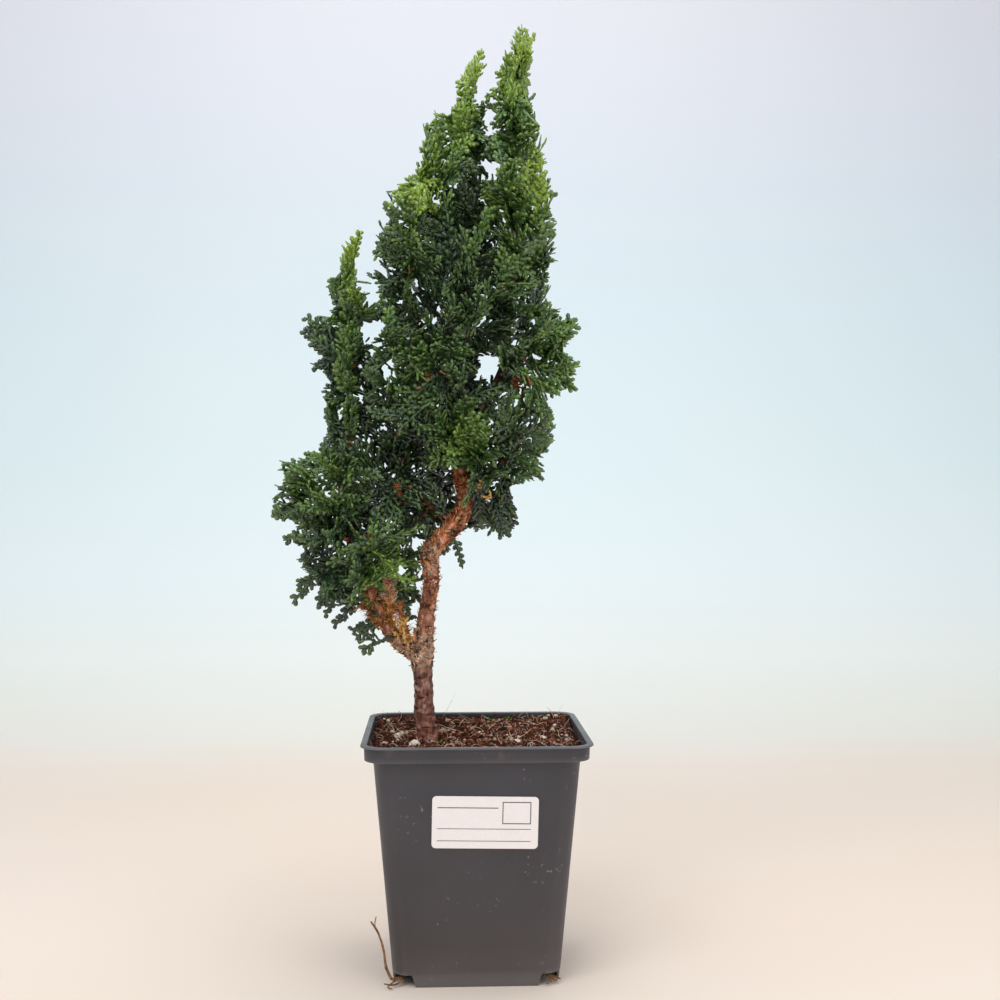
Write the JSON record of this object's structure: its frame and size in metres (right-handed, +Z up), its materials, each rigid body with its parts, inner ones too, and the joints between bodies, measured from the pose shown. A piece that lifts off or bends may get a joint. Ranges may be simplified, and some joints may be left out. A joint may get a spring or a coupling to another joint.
{
  "type": "hinoki cypress bonsai in a nursery pot",
  "caption": "Young hinoki cypress bonsai with a bent trunk, a left branch and upright fans of scale leaves, growing in peat in a tapered square plastic nursery pot with a blank label",
  "frame": {"origin": "on the surface that the pot stands on, in the middle of the whole plant and pot, under the trunk's foot", "axes": "+Z up along the tree, -Y toward the viewer and the label, +X to the viewer's right, where the pot's middle lies"},
  "size_m": [0.1562, 0.11, 0.4709],
  "materials": {
    "pot_plastic": "satin",
    "label_paper": "satin",
    "peat": "matte",
    "perlite": "matte",
    "root": "matte",
    "bark": "matte",
    "leaf": "matte"
  },
  "bodies": {
    "root": {"back_limb_shoot_1": "leaf", "back_limb_shoot_2": "leaf", "back_limb_shoot_3": "leaf", "front_limb_shoot_1": "leaf", "front_limb_shoot_2": "leaf", "front_limb_shoot_3": "leaf", "front_limb_shoot_4": "leaf", "label": "label_paper", "left_back_limb_shoot_1": "leaf", "left_branch_shoot_1": "leaf", "left_branch_shoot_2": "leaf", "left_branch_shoot_3": "leaf", "left_branch_shoot_4": "leaf", "left_branch_shoot_5": "leaf", "left_branch_shoot_6": "leaf", "left_branch_shoot_7": "leaf", "left_branch_shoot_8": "leaf", "left_branch_shoot_9": "leaf", "left_shoulder_shoot_1": "leaf", "left_shoulder_shoot_2": "leaf", "left_shoulder_shoot_3": "leaf", "left_shoulder_shoot_4": "leaf", "left_shoulder_shoot_5": "leaf", "left_side_limb_shoot_1": "leaf", "left_side_limb_shoot_2": "leaf", "left_side_limb_shoot_3": "leaf", "low_left_limb_shoot_1": "leaf", "low_left_limb_shoot_2": "leaf", "low_left_limb_shoot_3": "leaf", "low_right_limb_shoot_1": "leaf", "low_right_limb_shoot_2": "leaf", "low_right_limb_shoot_3": "leaf", "low_right_limb_shoot_4": "leaf", "perlite_back": "perlite", "perlite_front": "perlite", "perlite_left": "perlite", "perlite_right": "perlite", "pot": "pot_plastic", "right_leader_shoot_1": "leaf", "right_leader_shoot_2": "leaf", "right_leader_shoot_3": "leaf", "right_leader_shoot_4": "leaf", "right_leader_shoot_5": "leaf", "right_leader_shoot_6": "leaf", "right_leader_shoot_7": "leaf", "right_side_limb_shoot_1": "leaf", "right_side_limb_shoot_2": "leaf", "root_strand_left": "root", "root_stub_right": "root", "soil": "peat", "trunk_shoot_1": "leaf", "trunk_shoot_2": "leaf", "trunk_shoot_3": "leaf", "trunk_shoot_4": "leaf", "trunk_shoot_5": "leaf", "trunk_shoot_6": "leaf", "wood": "bark"}
  },
  "joints": []
}
